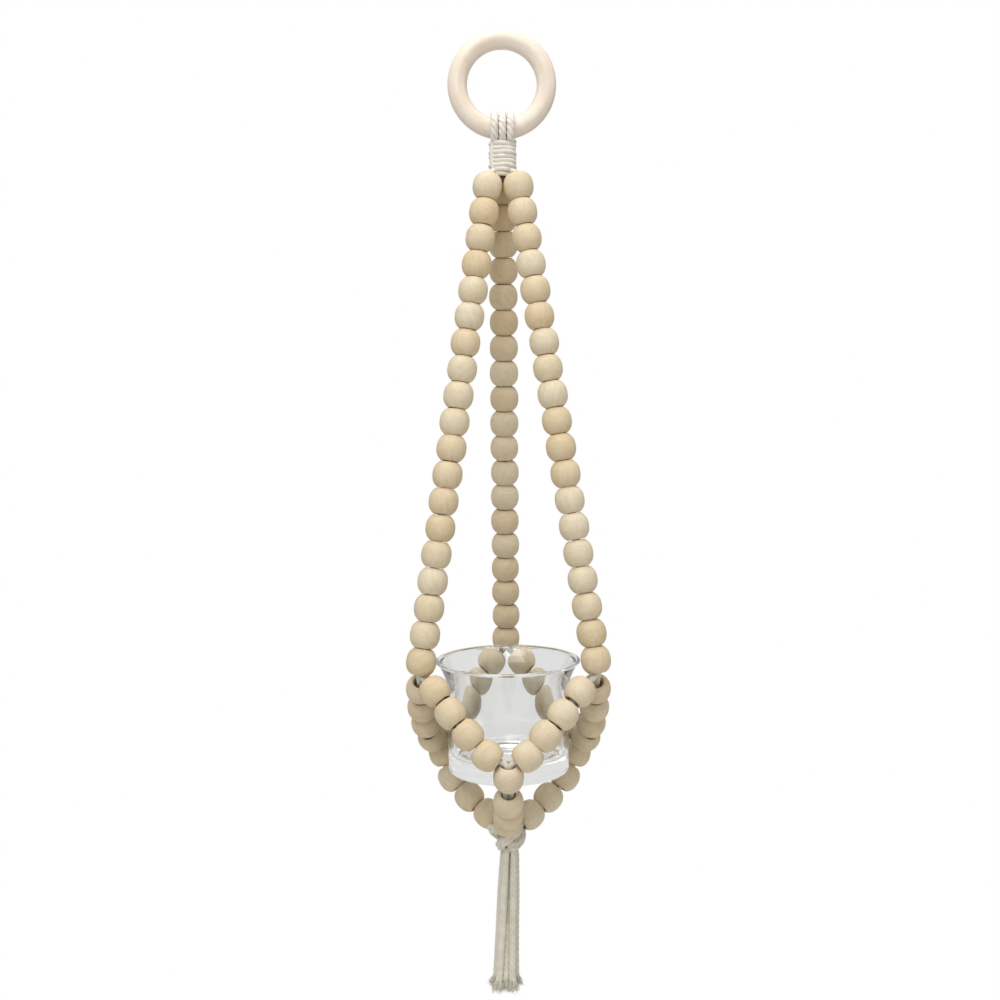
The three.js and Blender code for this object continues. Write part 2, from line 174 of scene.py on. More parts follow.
def spunCotton(name, pale, mid, dark):
    material, tree = newMaterial(name)
    uv = addNode(tree, "ShaderNodeUVMap", {"uv_map": "along"})
    # fibre bundles drawn about 0.25 mm wide so that they show
    bundles = addNode(tree, "ShaderNodeMapping", Vector=(uv, "UV"), Scale=spun["fibres"])
    fibres = addNoise(tree, (bundles, "Vector"), 1.0, 4.0, Roughness=0.65, Distortion=0.6)
    place = addNode(tree, "ShaderNodeTexCoord"), "Object"
    fuzz = addNoise(tree, place, spun["fuzz"], 3.0)
    patches = addNoise(tree, place, spun["patches"], 2.0)
    valley = addNode(tree, "ShaderNodeAttribute", {"attribute_name": "valley"}), "Fac"
    shade = addRamp(tree, fibres, [(0.30, dark), (0.50, mid), (0.66, pale)])
    patched = addProduct(tree, 0.6, shade, addRamp(tree, patches, [(0.35, "#ece8da"), (0.65, "#ffffff")]))
    # painted shade: the colour darkens down into the valleys between strands, where the strands shade each
    # other
    paintedValleyShade = addRamp(tree, valley, [(0.0, "#ffffff"), (0.55, "#f4f0e4"), (1.0, "#b5ab92")])
    valleyShaded = addProduct(tree, 1.0, patched, paintedValleyShade)
    height = addNode(tree, "ShaderNodeMath", {"operation": "ADD"}, i0=fibres, i1=fuzz)
    bump = addNode(tree, "ShaderNodeBump", Strength=spun["relief"], Distance=0.0003, Height=(height, 0))
    shader = addNode(
        tree, "ShaderNodeBsdfPrincipled", Base_Color=valleyShaded, Roughness=0.92, Normal=(bump, "Normal"),
        Sheen_Weight=spun["sheen"], Sheen_Roughness=0.6, Specular_IOR_Level=0.2,
    )
    addNode(tree, "ShaderNodeOutputMaterial", Surface=(shader, "BSDF"))
    return material


# Soda-lime glass, pressed thick and fire-polished: clear, bright at its edges, and slightly wavy from
# the mould, which bends what is seen through it.
def pressedGlass(name):
    material, tree = newMaterial(name)
    place = addNode(tree, "ShaderNodeTexCoord")
    ripple = addNode(tree, "ShaderNodeMapping", Vector=(place, "Object"), Scale=(22, 22, 9))
    waves = addNoise(tree, (ripple, "Vector"), 1.0, 1.0)
    bump = addNode(tree, "ShaderNodeBump", Strength=0.10, Distance=0.004, Height=waves)
    shader = addNode(
        tree, "ShaderNodeBsdfPrincipled", Base_Color=linear("#fcfdfc"), Transmission_Weight=1.0, Roughness=0.0,
        IOR=1.5, Normal=(bump, "Normal"),
    )
    addNode(tree, "ShaderNodeOutputMaterial", Surface=(shader, "BSDF"))
    return material


beadWood = turnedWood("beech, turned and sanded", "#ebdec3", "#e8dabe", "#e3d3b4", 2.2, 0.6)
ringWood = turnedWood("maple, steamed and sanded", "#fbf0e3", "#f8ebdd", "#f0e2d1", 3.0, 0.45)
cotton = spunCotton("cotton cord, three-strand laid", "#f8f5ea", "#efebde", "#e0dbcb")
whiteCotton = spunCotton("cotton cord, bleached and soft", "#fffdf9", "#faf4ee", "#f1eae3")
clearGlass = pressedGlass("pressed soda-lime glass")
print("materials made")


# A mesh from an array of points in mm and a list of faces, all turned outward: six times the volume
# that the faces enclose is the sum of their corners' triple products, under zero if they look inward.
def meshOf(name, points, faces, material):
    mesh = bpy.data.meshes.new(name)
    mesh.from_pydata((np.asarray(points) * mm).tolist(), [], faces)
    mesh.polygons.foreach_set("use_smooth", [True] * len(mesh.polygons))
    mesh.materials.append(material)
    mesh.calc_loop_triangles()
    corners = np.zeros(len(mesh.loop_triangles) * 3, np.int32)
    mesh.loop_triangles.foreach_get("vertices", corners)
    one, two, three = np.moveaxis(np.reshape(points, (-1, 3))[corners].reshape(-1, 3, 3), 1, 0)
    if np.sum(one * np.cross(two, three)) < 0:
        mesh.flip_normals()
    mesh.update()
    piece = bpy.data.objects.new(name, mesh)
    bpy.context.collection.objects.link(piece)
    return piece


# Quads of a grid of rows by columns, either way closed on itself or open: point number is row times
# the columns plus column.
def gridQuads(rows, columns, closeRows, closeColumns):
    r = np.arange(rows if closeRows else rows - 1)[:, None]
    c = np.arange(columns if closeColumns else columns - 1)[None, :]
    r2, c2 = (r + 1) % rows, (c + 1) % columns
    quads = np.stack([r * columns + c, r * columns + c2, r2 * columns + c2, r2 * columns + c], -1)
    return quads.reshape(-1, 4)


# One value, or one vector, for each point of the mesh.
def putAttribute(piece, name, kind, values):
    attribute = piece.data.attributes.new(name, kind, "POINT")
    key = "vector" if kind == "FLOAT_VECTOR" else "value"
    attribute.data.foreach_set(key, np.asarray(values, np.float32).ravel())


# Each corner of a face takes the UV of its point.
def putUv(piece, pointUv):
    mesh = piece.data
    layer = mesh.uv_layers.new(name="along")
    corner = np.zeros(len(mesh.loops), np.int32)
    mesh.loops.foreach_get("vertex_index", corner)
    layer.data.foreach_set("uv", pointUv[corner].astype(np.float32).ravel())


# A unit vector or an array of them.
def unit(v):
    v = np.asarray(v, float)
    return v / np.linalg.norm(v, axis=-1, keepdims=True)


# A smooth line through the points: a Catmull-Rom cubic over each span, whose slope at a point is half
# the way from the point before to the point after, then evened out to equal steps.
def smoothLine(points, step):
    p = np.asarray(points, float)
    padded = np.concatenate([2 * p[:1] - p[1:2], p, 2 * p[-1:] - p[-2:-1]])
    spans = len(padded) - 3
    t = np.linspace(0, 1, 25)[None, :, None]
    a, b, c, d = (padded[i : i + spans, None, :] for i in range(4))
    dense = 0.5 * (2 * b + (c - a) * t + (2 * a - 5 * b + 4 * c - d) * t**2 + (3 * b - a - 3 * c + d) * t**3)
    dense = np.concatenate([dense[:, :-1].reshape(-1, 3), dense[-1:, -1]])
    return evened(dense, step)


# The same line in equal steps: its points are read off at even shares of its length.
def evened(dense, step, closed=False):
    along = np.concatenate([[0], np.cumsum(np.linalg.norm(np.diff(dense, axis=0), axis=1))])
    count = max(4, int(round(along[-1] / step)))
    at = np.linspace(0, along[-1], count + 1)
    line = np.stack([np.interp(at, along, dense[:, k]) for k in range(3)], 1)
    return line[:-1] if closed else line


# The sum of the steps from point to point.
def lineLength(line, closed=False):
    ends = np.concatenate([line, line[:1]]) if closed else line
    return np.linalg.norm(np.diff(ends, axis=0), axis=1).sum()


# Laid rope, in mm: round the middle line the radius follows a half circle over each strand and dips
# between two, and the strands turn once in each lay. The angle starts square to a fixed direction.
rope = {"strands": 3, "sides": 24, "lay": 12.5, "dip": 0.2}


# Gives the rope's points, their UVs, and each point's depth between two strands, which sets its painted shade.
def ropeShell(line, radius, across, closed=False, lay=None, dip=None, start=0.0, taper=None):
    lay = lay or rope["lay"]
    dip = rope["dip"] if dip is None else dip
    if closed:
        tangent = unit(np.roll(line, -1, 0) - np.roll(line, 1, 0))
        turns = max(1, round(lineLength(line, True) / lay))
        twist = np.arange(len(line)) / len(line) * 2 * np.pi * turns
    else:
        tangent = unit(np.gradient(line, axis=0))
        along = np.concatenate([[0], np.cumsum(np.linalg.norm(np.diff(line, axis=0), axis=1))])
        twist = along / lay * 2 * np.pi
    side = unit(np.cross(tangent, across))
    front = np.cross(tangent, side)
    angle = np.arange(rope["sides"]) / rope["sides"] * 2 * np.pi
    turned = angle[None, :] + twist[:, None] + start
    off = (turned * rope["strands"] / (2 * np.pi)) % 1.0 - 0.5  # -0.5 to 0.5 across one strand
    rise = np.sqrt(np.clip(1 - (2 * off) ** 2, 0, 1))
    reach = radius * (1 - dip * (1 - rise))
    if taper is not None:
        reach = reach * taper[:, None]
    ring = np.cos(angle)[None, :, None] * side[:, None, :] + np.sin(angle)[None, :, None] * front[:, None, :]
    points = line[:, None, :] + reach[:, :, None] * ring
    uvAlong = (twist * lay / (2 * np.pi))[:, None] / (2 * radius) + 0 * turned
    return points, np.stack([uvAlong, turned / 2], -1), (1 - rise) ** 2 * min(1, dip / 0.2)


# One piece from one or more ropes; each form setting is a list with one value for each rope.
def ropePiece(name, lines, radius, across, closed=False, material=cotton, **form):
    points, faces, uvs, valleys, offset = [], [], [], [], 0
    for k, line in enumerate(lines):
        options = {key: value[k] for key, value in form.items()}
        shell, uv, valley = ropeShell(line, radius, across[k], closed, **options)
        rows, columns = shell.shape[:2]
        faces += (gridQuads(rows, columns, closed, True) + offset).tolist()
        points.append(shell.reshape(-1, 3))
        uvs.append(uv.reshape(-1, 2))
        valleys.append(valley.ravel())
        offset += rows * columns
        if not closed:
            # both ends close with a fan to the line's own end point
            c = np.arange(columns)
            c2 = (c + 1) % columns
            first, last = np.full(columns, offset), np.full(columns, offset + 1)
            start, end = offset - rows * columns, offset - columns
            faces += np.stack([start + c2, start + c, first], 1).tolist()
            faces += np.stack([end + c, end + c2, last], 1).tolist()
            points.append(line[[0, -1]])
            uvs.append(uv[[0, -1], 0])
            valleys.append([0.4, 0.4])
            offset += 2
    piece = meshOf(name, np.concatenate(points), faces, material)
    putUv(piece, np.concatenate(uvs))
    # depth between strands, which the cotton uses for its painted shade in the valleys
    putAttribute(piece, "valley", "FLOAT", np.concatenate(valleys))
    return piece


# What the frame says: a node's middle, halfway between its box's corners
def middleOf(node):
    low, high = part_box(node)
    return np.array((low + high) / 2) / mm


# A bead's bore runs in the direction in which its points spread unlike the other two: of the three
# eigenvectors of their covariance, the one whose spread stands off from the middle one.
def boreOf(node):
    points = np.array([v.co for v in frame["nodes"][node].data.vertices])
    spread, directions = np.linalg.eigh(np.cov((points - points.mean(0)).T))
    odd = 0 if abs(spread[0] - spread[1]) > abs(spread[2] - spread[1]) else 2
    return directions[:, odd]


# How the limp cradle has settled from its even shape, in mm: each junction bead and the knot, the
# belly of each leg, and the lower beads one by one.
settle = {
    "front": (-1.2, 0, 0.4), "left": (0.7, 0, -2.4), "right": (1.8, 0, -3.8), "knot": (-1.2, 0, 1.6),
    "left_front": (0.5, 0, 0.3), "right_front": (-3.4, 0, -0.6),
    "left_side": (1.8, 0, -2.0), "right_side": (-3.0, 0, -2.2),
    "lower_front": ((-1.3, 0, -1.2), (-1.4, 1.4, 0.6), (-1.3, 2.6, 1.8)),
    "lower_left": ((-0.2, 0, -1.6), (0.5, -0.6, -0.2), (1.0, -1.2, 1.0)),
    "lower_right": ((1.0, 0, -2.4), (-0.4, -0.4, -1.6), (-1.0, -0.6, -0.4)),
    "foot": {"left": -2.0, "right": -3.2, "back": -0.4},
}


# Where a settled piece's middle is. Down a leg, each bead takes an even share of its string's drop
# and of its junction's, and the leg's belly as a half sine.
def placeOf(node):
    place = middleOf(node)
    if node.startswith("leg_bead"):
        leg, i = node[9:].rsplit("_", 1)
        share = int(i) / 5
        side, meeting = next((side, meeting) for side in legs for name, _, meeting in legs[side] if name == leg)
        belly = np.array(settle.get(leg, (0, 0, 0))) * math.sin(math.pi * share)
        return place + np.array(settle[meeting]) * share + belly + [0, 0, settle["foot"][side] * (1 - share)]
    if node.startswith("junction_bead"):
        return place + settle[node[14:]]
    if node.startswith("lower_bead"):
        return place + settle[node[:5] + node[10:-2]][int(node[-1]) - 1]
    return place + settle["knot"]


# A joint's place in mm and its direction.
def jointLine(name):
    joint = next(joint for joint in frame["joints"] if joint["name"] == name)
    return np.array(joint["pos_m"], float) / mm, unit(joint["axis"])


bead = {"diameter": 20.0, "bore": 10.0, "pitch": 17.7705, "sides": 40, "count": 19}
# a ball with a hole through it is as long as the chord where the hole's side meets the ball
bead["length"] = 2 * math.sqrt((bead["diameter"] / 2) ** 2 - (bead["bore"] / 2) ** 2)
cord = {"free": 5.0, "run": 4.0, "press": 3.9}  # across, across inside a bead, and between two runs there

# Each string's direction up, its directions out from the axis and aside, and its beads' middles
strings = {}
for side, azimuth in (("back", 90), ("left", 210), ("right", 330)):
    first, up = jointLine(f"strand_{side}_spin")
    up = up if up[2] > 0 else -up
    out = np.array([math.cos(math.radians(azimuth)), math.sin(math.radians(azimuth)), 0])
    centres = first - up * bead["pitch"] * np.arange(bead["count"])[:, None]
    strings[side] = {"up": up, "out": out, "aside": np.cross([0, 0, 1], out), "centres": centres}
# Each string's two legs: name, the side of the string it leaves by, and the junction it goes to
legs = {
    "back": (("back_left", 1, "left"), ("back_right", -1, "right")),
    "left": (("left_front", 1, "front"), ("left_side", -1, "left")),
    "right": (("right_side", 1, "right"), ("right_front", -1, "front")),
}
junctions = ("front", "left", "right")
print("frame read")


# Tassel first: six cut ends, the only free cords. Five hang round one, close together where they
# leave the knot. Some cords are pressed smooth, the others keep their three strands.
tassel = {
    "length": 90.5, "radius": 2.55, "inKnot": 5.0,
    "neck": 3.4, "top": 4.5, "full": 5.3,  # reach of the outer cords in the knot, just under it and lower
    "spread": (2.9, 2.8, 2.2, 1.0, 1.5), "lean": 3.8, "forward": 5.4,
    "dips": (0.07, 0.26, 0.27, 0.2, 0.09, 0.22), "lay": 1.1,  # depth between strands, and turn of each lay
    "bendFrom": 17, "bendTo": 43,  # above and below the tassel's top
}
tasselTop = max(float(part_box(f"tassel_cord_{i + 1}")[1][2]) for i in range(6)) / mm


# The route of one cord: straight down, its reach from the axis growing with the square of its share
# of the length, all leaning to the left; the middle one comes forward with the same square.
def tasselLine(i, step):
    outer = i < 5
    around = (i - 0.5) * 2 * math.pi / 5 - math.pi / 2
    share = np.array([-tassel["inKnot"] / tassel["length"], 0, 0.12, 0.3, 0.67, 1])
    neck, top, full = tassel["neck"], tassel["top"], tassel["full"]
    close = np.array([neck, top, top + 0.4, full, full, full])
    down = np.clip(share, 0, 1)
    reach = close + tassel["spread"][i] * down**2 if outer else 0 * share
    x = reach * math.cos(around) - tassel["lean"] * down
    y = reach * math.sin(around) - (0 if outer else tassel["forward"]) * down**2
    return smoothLine(np.stack([x, y, tasselTop - tassel["length"] * share], 1), step)


# A tuft of cut fibres: each starts inside the cord's end, flares outwards with a power of its share of
# the length, strays by its square, waves a little and thins to its tip.
tuft = {
    "length": 9.5, "out": 3.2, "fibres": 220, "rings": 8, "sides": 4, "fill": 0.9, "thickness": 0.27,
    "flare": (0.3, 2.9), "stray": 0.45, "wave": 0.16, "waves": 7, "sweep": (-1.6, 0.2, 0.9, 0, -2.4, 0),
}


def makeTuft(i, line, random):
    end, along = line[-1], unit(line[-1] - line[-3])
    aside = unit(np.cross(along, [0, 1, 0]))
    ahead = np.cross(along, aside)
    count, rings, sides = tuft["fibres"], tuft["rings"], tuft["sides"]
    place = np.sqrt(random.random(count)) * tassel["radius"] * tuft["fill"]
    around = random.random(count) * 2 * np.pi
    flare = tuft["flare"][0] + tuft["flare"][1] * random.random(count) ** 1.6
    length = tuft["length"] * (0.55 + 0.45 * random.random(count))
    t = np.linspace(0, 1, rings)
    outward = np.cos(around)[:, None] * aside + np.sin(around)[:, None] * ahead
    reach = place[:, None] + flare[:, None] * t**1.7
    middle = end - along * (tuft["length"] - tuft["out"]) + outward[:, None, :] * reach[:, :, None]
    middle = middle + along * (length[:, None] * t)[:, :, None]
    middle += random.normal(0, tuft["stray"], (count, 3))[:, None, :] * (t**2)[None, :, None]
    sweep = np.array([tuft["sweep"][i], 0, 0])
    middle += sweep * (t**1.6)[None, :, None] * random.random(count)[:, None, None]
    wave = np.sin(t * tuft["waves"] + random.random(count)[:, None] * 6.28) * tuft["wave"] * t
    middle += wave[:, :, None] * aside
    thickness = tuft["thickness"] * (1 - 0.6 * t) * (0.7 + 0.6 * random.random(count))[:, None]
    angle = np.arange(sides) / sides * 2 * np.pi
    ring = np.cos(angle)[:, None] * aside + np.sin(angle)[:, None] * ahead
    points = middle[:, :, None, :] + thickness[:, :, None, None] * ring
    starts = (np.arange(count) * rings * sides)[:, None, None]
    quads = (gridQuads(rings, sides, False, True)[None] + starts).reshape(-1, 4)
    root = starts[:, 0] + np.arange(sides)[None, :]
    tip = root + (rings - 1) * sides
    faces = quads.tolist() + root[:, ::-1].tolist() + tip.tolist()
    piece = meshOf(f"tassel_end_{i + 1}", points.reshape(-1, 3), faces, cotton)
    lengthways = np.broadcast_to(t[None, :, None] * 2, points.shape[:3])
    putUv(piece, np.stack([lengthways, np.broadcast_to(angle, points.shape[:3])], -1).reshape(-1, 2))
    putAttribute(piece, "valley", "FLOAT", np.zeros(len(piece.data.vertices)))
    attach(piece, "tassel")
    return piece


# Each rope stops short of its cut, inside its tuft, and is a little thinner where the knot grips it.
# The knot holds its top.
def makeTassel():
    random = np.random.default_rng(7)
    for i in range(6):
        line = tasselLine(i, 0.6)
        shorter = line[:-8]
        taper = np.interp(np.arange(len(shorter)), [0, 12, 50], [0.84, 0.9, 1.0])
        piece = ropePiece(
            f"tassel_rope_{i + 1}", [shorter], tassel["radius"], [np.array([0, 1.0, 0])],
            dip=[tassel["dips"][i]], start=[i * tassel["lay"]], taper=[taper],
        )
        cutEnd = makeTuft(i, line, random)
        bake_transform(piece)
        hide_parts(f"tassel_cord_{i + 1}")


makeTassel()
print("tassel made")


# Beads: turned a little fuller than a ball towards their flat ends. The profile is a closed line of
# (radius, height): the outside, a small round onto the flat end, the flat, and the bore. The outside
# is where the two, each as a share of the radius and to the power of the fullness, add up to 1.
beadShape = {"fullness": 2.32, "half": 8.68, "bore": 9.7, "round": 0.55}


def beadProfile(radius):
    power, half = beadShape["fullness"], beadShape["half"]
    hole, edge = beadShape["bore"] / 2, beadShape["round"]
    # the height where the outside meets the flat end's round
    height = np.sin(np.linspace(-1, 1, 25) * math.asin((half - edge * 0.55) / radius)) * radius
    outside = np.stack([radius * (1 - np.abs(height / radius) ** power) ** (1 / power), height], 1)
    endR = outside[-1, 0]
    bend = np.linspace(0, 1, 6)[1:, None]
    corner, flat = np.array([endR - 0.35 * edge, half]), np.array([endR - 1.3 * edge, half])
    # a quadratic bend from the outside onto the flat end
    top = (1 - bend) ** 2 * outside[-1] + 2 * bend * (1 - bend) * corner + bend**2 * flat
    mouth = np.array([[hole + 0.35, half], [hole + 0.1, half - 0.1], [hole, half - 0.35]])
    wall = np.array([[hole, half / 2], [hole, 0]])
    bottom = np.concatenate([top, mouth, wall[:1]])[::-1] * [1, -1]
    return np.concatenate([outside, top, mouth, wall, bottom])


# The profile turned round the bore's direction. Each bead is cut from its own block, at a seeded turn
# and place in the grain, and has its own tone.
def makeBead(name, centre, bore, body, nodes, random, scale=1.0):
    profile = beadProfile(bead["diameter"] / 2 * scale)
    bore = unit(bore)
    side = unit(np.cross(bore, [0.31, 0.9, 0.17]))
    front = np.cross(bore, side)
    angle = np.arange(bead["sides"]) / bead["sides"] * 2 * np.pi
    ring = np.cos(angle)[:, None] * side + np.sin(angle)[:, None] * front
    local = profile[None, :, 0, None] * ring[:, None, :] + profile[None, :, 1, None] * bore
    points = (local + centre).reshape(-1, 3)
    faces = gridQuads(bead["sides"], len(profile), True, True).tolist()
    piece = meshOf(name, points, faces, beadWood)
    turn = np.linalg.qr(random.normal(size=(3, 3)))[0]
    putAttribute(piece, "block", "FLOAT_VECTOR", local.reshape(-1, 3) @ turn * mm + random.random(3) * 3)
    putAttribute(piece, "tone", "FLOAT", np.full(len(points), random.random()))
    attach(piece, body)
    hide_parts(*nodes)


# A string's beads sit loosely, each a little off the line and tipped; the others are as they settled.
loose = {"place": 0.15, "placeMost": 0.2, "tip": 0.022, "tipMost": 0.03, "least": 0.985, "more": 0.02}


def makeBeads():
    random = np.random.default_rng(20)
    for side, string in strings.items():
        for i, centre in enumerate(string["centres"]):
            most, mostTip = loose["placeMost"], loose["tipMost"]
            place = centre + np.clip(random.normal(0, loose["place"], 3), -most, most) * [1, 1, 0.4]
            tip = string["up"] + np.clip(random.normal(0, loose["tip"], 3), -mostTip, mostTip)
            size = loose["least"] + loose["more"] * random.random()
            nodes = [f"strand_beads_{side}"]
            makeBead(f"bead_{side}_{i + 1}", place, tip, f"beads_{side}", nodes, random, size)
        for leg, _, _ in legs[side]:
            for i in range(4):
                node = f"leg_bead_{leg}_{i + 1}"
                name = node.replace("leg_bead", "cradle_bead")
                makeBead(name, placeOf(node), boreOf(node), "hanger", [node], random)
    for junction in junctions:
        node = f"junction_bead_{junction}"
        makeBead(f"meeting_bead_{junction}", placeOf(node), boreOf(node), "hanger", [node], random)
        for i in range(3):
            node = f"lower_bead_{junction}_{i + 1}"
            name = node.replace("lower_bead", "under_bead")
            makeBead(name, placeOf(node), boreOf(node), "hanger", [node], random)


makeBeads()
print("beads made")


# Ring: one hoop of bent rod, a torus whose rod is very slightly flattened where it was sanded
ring = {"hoop": 30.0, "rod": 6.5, "around": 160, "sides": 40, "tone": 0.8}


def makeRing():
    centre = middleOf("ring")
    u = np.arange(ring["around"])[:, None] / ring["around"] * 2 * np.pi
    v = np.arange(ring["sides"])[None, :] / ring["sides"] * 2 * np.pi
    rod = ring["rod"] * (1 + 0.012 * np.cos(2 * v + 0.6) + 0.006 * np.sin(3 * u))
    reach = ring["hoop"] + rod * np.cos(v)
    points = np.stack([reach * np.cos(u), rod * np.sin(v) + 0 * u, reach * np.sin(u)], -1)
    faces = gridQuads(ring["around"], ring["sides"], True, True).tolist()
    piece = meshOf("hanging_ring", (points + centre).reshape(-1, 3), faces, ringWood)
    # the grain follows the rod round, so its block is the rod laid straight, mirrored at the top
    block = np.stack([rod * np.cos(v) + 0 * u, rod * np.sin(v) + 0 * u, ring["hoop"] * u + 0 * v], -1)
    block[..., 2] = np.abs(block[..., 2] - ring["hoop"] * math.pi)
    putAttribute(piece, "block", "FLOAT_VECTOR", block.reshape(-1, 3) * mm)
    putAttribute(piece, "tone", "FLOAT", np.full(len(piece.data.vertices), ring["tone"]))
    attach(piece, "ring")
    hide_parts("ring")


makeRing()
print("ring made")


# Folds: three cords round the rod, side by side, each a closed circle of rope
folds = {"radius": 9.75, "cordRadius": 2.6, "steps": 240, "dip": 0.3, "lay": 1.3}


def makeFolds():
    angle = np.arange(folds["steps"]) / folds["steps"] * 2 * np.pi
    form = {"closed": True, "dip": [folds["dip"]], "material": whiteCotton}
    for i, side in enumerate(("left", "middle", "right")):
        centre = middleOf(f"cord_fold_{side}")
        line = folds["radius"] * np.stack([0 * angle, np.cos(angle), np.sin(angle)], 1) + centre
        across = [np.array([1.0, 0, 0])]
        name = f"folded_cord_{side}"
        piece = ropePiece(name, [line], folds["cordRadius"], across, start=[i * folds["lay"]], **form)
        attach(piece, "folds")
        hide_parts(f"cord_fold_{side}")


makeFolds()


# Wrap: one thinner cord in close turns down over the six runs: a helix whose height and reach waver
# by small sines. Its last turns are drawn in between the first beads.
wrap = {
    "turns": 8.5, "cordRadius": 1.6, "top": 61.6, "bottom": 86.2, "radius": 7.75, "stepDegrees": 5,
    "drawnIn": 3.8, "drawnFrom": 0.8,
    "tail": ((-5.8, -4.0, -83.0), (-6.7, -4.9, -78), (-7.2, -4.5, -72), (-6.8, -4.9, -66), (-5.2, -4.2, -61)),
}


def makeWrap():
    angle = np.arange(0, wrap["turns"] * 360 + 1, wrap["stepDegrees"]) * math.pi / 180
    share = angle / angle[-1]
    z = -wrap["top"] - (wrap["bottom"] - wrap["top"]) * share
    z += 0.35 * np.sin(angle * 1.03 + 0.8) * np.sin(share * np.pi) + 0.15 * np.sin(angle * 2.1)
    reach = wrap["radius"] + 0.25 * np.sin(angle * 0.37 + 1.0) + 0.15 * np.sin(angle * 3.3)
    startShare = wrap["drawnFrom"]
    reach -= wrap["drawnIn"] * np.clip((share - startShare) / (1 - startShare), 0, 1) ** 1.6
    coil = evened(np.stack([reach * np.cos(angle), reach * np.sin(angle), z], 1), 0.5)
    # the cord's tail, tucked up under the turns at the left
    lines = [coil, smoothLine(wrap["tail"], 0.5)]
    across = [np.array([0, 0, 1.0]), np.array([1.0, 0.2, 0])]
    form = {"lay": [8.5, 8.5], "dip": [0.14, 0.16], "material": whiteCotton}
    piece = ropePiece("wrapping_cord", lines, wrap["cordRadius"], across, **form)
    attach(piece, "hanger")
    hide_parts("gathering_wrap")


makeWrap()


# The end of a bead's bore that points upward.
def boreUp(node):
    bore = boreOf(node)
    return bore if bore[2] > 0 else -bore


# The level direction out from the axis through a place, and the one square to it, round the axis.
def outAndAside(place):
    out = unit(place * [1, 1, 0])
    return out, np.cross([0, 0, 1], out)


# Strands: two runs side by side down each string. Each goes in at the wrap, through every bead half
# the pressed width off its middle, parts at the foot to one leg's beads and ends in the junction bead.
strand = {"wrapTop": -64.0, "wrapFoot": -79.0, "wrapReach": (3.6, 3.8), "close": 0.9, "parting": 0.6}
# "close" and "parting" are shares of the runs' own gap, in the wrap and at the string's foot


def makeStrands():
    for side, string in strings.items():
        up, out, aside, centres = (string[k] for k in ("up", "out", "aside", "centres"))
        lines = []
        for leg, hand, junction in legs[side]:
            shift = aside * hand * cord["press"] / 2
            top = out * strand["wrapReach"][0] + shift * strand["close"] + [0, 0, strand["wrapTop"]]
            under = out * strand["wrapReach"][1] + shift * strand["close"] + [0, 0, strand["wrapFoot"]]
            mouth = centres[0] + up * bead["length"] / 2 + shift
            footMouth = centres[-1] - up * bead["length"] / 2 + shift * strand["parting"]
            beadsOnLeg = [placeOf(f"leg_bead_{leg}_{i + 1}") for i in range(4)]
            meeting, bore = placeOf(f"junction_bead_{junction}"), boreUp(f"junction_bead_{junction}")
            meetingShift = outAndAside(meeting)[1] * -hand * cord["press"] / 2
            meetingMouth = meeting + bore * (bead["length"] / 2 + 0.6) + meetingShift
            points = [top, under, mouth, *(centres + shift)[:-1:3], centres[-1] + shift, footMouth]
            points += [*beadsOnLeg, meetingMouth, meeting + meetingShift]
            lines.append(smoothLine(points, 0.9))
        piece = ropePiece(f"strand_rope_{side}", lines, cord["run"] / 2, [out, out], start=[0, 0.9])
        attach(piece, "hanger")
        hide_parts(f"strand_cord_{side}")


# Lower runs: from each junction two runs side by side through three beads and into the knot
def makeLowerRuns():
    knotMiddle = placeOf("gather_knot")
    for junction in junctions:
        meeting = placeOf(f"junction_bead_{junction}")
        out, aside = outAndAside(meeting)
        centres = np.array([placeOf(f"lower_bead_{junction}_{i + 1}") for i in range(3)])
        lastMouth = centres[-1] - boreUp(f"lower_bead_{junction}_3") * bead["length"] / 2
        lines = []
        for hand in (1, -1):
            shift = aside * hand * cord["press"] / 2
            inKnot = knotMiddle + out * 3 + shift * 0.8 + [0, 0, 3]
            lines.append(smoothLine([meeting + shift, *(centres + shift), lastMouth + shift, inKnot], 0.7))
        piece = ropePiece(f"lower_rope_{junction}", lines, cord["run"] / 2, [out, out], start=[0.4, 1.7])
        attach(piece, "hanger")
        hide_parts(f"lower_cord_{junction}")


makeStrands()
makeLowerRuns()


# Knot: the six runs tied together in one overhand knot, five round one, wider at the top. The path is
# a trefoil: it winds twice round the axis while its height and reach go three times round a circle.
# A core of six short lengths goes down through it to the tassel.
knot = {
    "reach": 6.5, "swell": 2.9, "rise": 5.6, "funnel": 0.036, "cordRadius": 1.85, "bundle": 2.5,
    "start": 0.5, "turn": 0.7, "lift": 1.2, "dip": 0.24, "coreReach": 3.9, "coreTop": 9, "coreFoot": -9.5,
}


